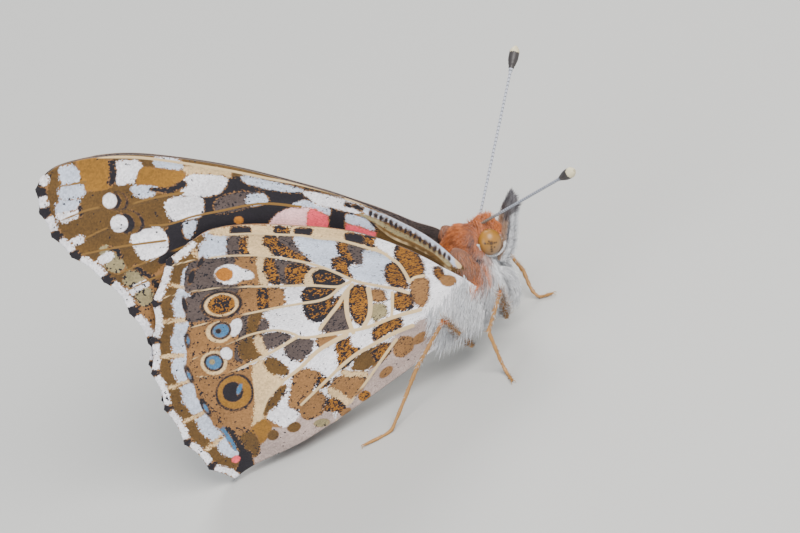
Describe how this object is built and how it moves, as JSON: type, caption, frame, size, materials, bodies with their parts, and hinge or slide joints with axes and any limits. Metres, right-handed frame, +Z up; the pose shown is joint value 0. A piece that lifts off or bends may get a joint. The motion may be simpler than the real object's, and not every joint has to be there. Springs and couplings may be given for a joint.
{
  "type": "painted lady butterfly",
  "caption": "Still life-size butterfly at rest, wings closed over its back, standing on its four walking legs.",
  "frame": {"origin": "middle of the outline on the floor that the feet stand on", "axes": "+X ahead along the body, +Y the animal's left, +Z up"},
  "size_m": [0.0337, 0.0184, 0.0282],
  "materials": {
    "wing": "ochre, white, black and rose scales in a matt pattern",
    "fur": "long silky grey-white hair, rust-brown on the back",
    "head_fur": "short rust-brown and white hair",
    "eye": "ochre compound eye with small dark flecks, glossy",
    "antenna": "ringed grey-white, club dark with a cream tip",
    "leg": "ochre horn under cream and grey scales"
  },
  "bodies": {
    "root": {"forewing_left": "wing", "hindwing_left": "wing", "forewing_right": "wing", "hindwing_right": "wing", "thorax": "fur", "abdomen": "fur", "head": "head_fur", "eye_left": "eye", "palp_left": "head_fur", "eye_right": "eye", "palp_right": "head_fur", "proboscis": "leg", "antenna_left": "antenna", "antenna_club_left": "antenna", "antenna_right": "antenna", "antenna_club_right": "antenna", "mid_right_femur": "leg", "mid_right_tibia": "leg", "mid_right_tarsus": "leg", "mid_left_femur": "leg", "mid_left_tibia": "leg", "mid_left_tarsus": "leg", "hind_right_femur": "leg", "hind_right_tibia": "leg", "hind_right_tarsus": "leg", "hind_left_femur": "leg", "hind_left_tibia": "leg", "hind_left_tarsus": "leg", "foreleg_left": "fur", "foreleg_right": "fur"}
  },
  "joints": []
}
